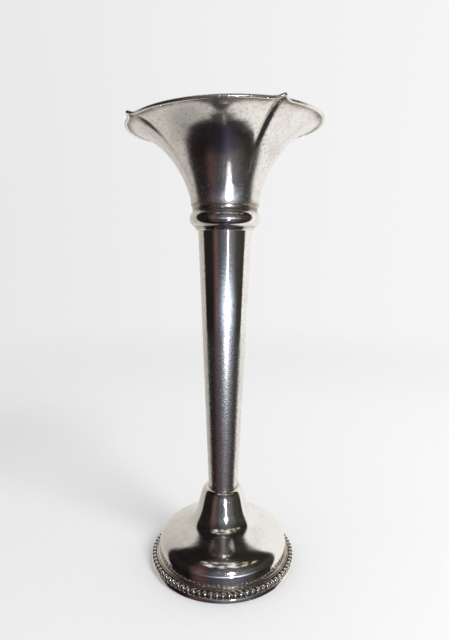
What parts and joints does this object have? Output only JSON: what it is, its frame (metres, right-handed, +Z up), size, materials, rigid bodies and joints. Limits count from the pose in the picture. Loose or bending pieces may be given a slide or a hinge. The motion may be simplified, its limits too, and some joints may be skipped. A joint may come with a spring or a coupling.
{
  "type": "trumpet vase",
  "caption": "Silver trumpet bud vase: lobed flared mouth with a wire rim, collar ring, tapered tube stem and a loaded domed foot with a beaded border.",
  "frame": {"origin": "centre of the underside of the foot, on the surface that the vase stands on", "axes": "+Z up along the vase's axis; the creases of the mouth lie on the diagonals between X and Y"},
  "size_m": [0.0758, 0.0758, 0.1807],
  "materials": {
    "mouth_silver": "old polished silver with fine scratches and light tarnish in the creases",
    "stem_silver": "old polished silver with fine scratches",
    "foot_silver": "old polished silver with small nicks, darker between the beads",
    "plug_brass": "dull, soldered in",
    "load_pitch": "pitch and plaster filling, hidden",
    "plate_steel": "tinned sheet, hidden under the baize",
    "baize": "green felted wool"
  },
  "bodies": {
    "root": {"trumpet_mouth": "mouth_silver", "rim_wire": "mouth_silver", "collar_ring": "stem_silver", "stem_tube": "stem_silver", "stem_plug": "plug_brass", "foot_shell": "foot_silver", "bead_border": "foot_silver", "foot_band": "foot_silver", "base_load": "load_pitch", "base_plate": "plate_steel", "baize_pad": "baize"}
  },
  "joints": []
}
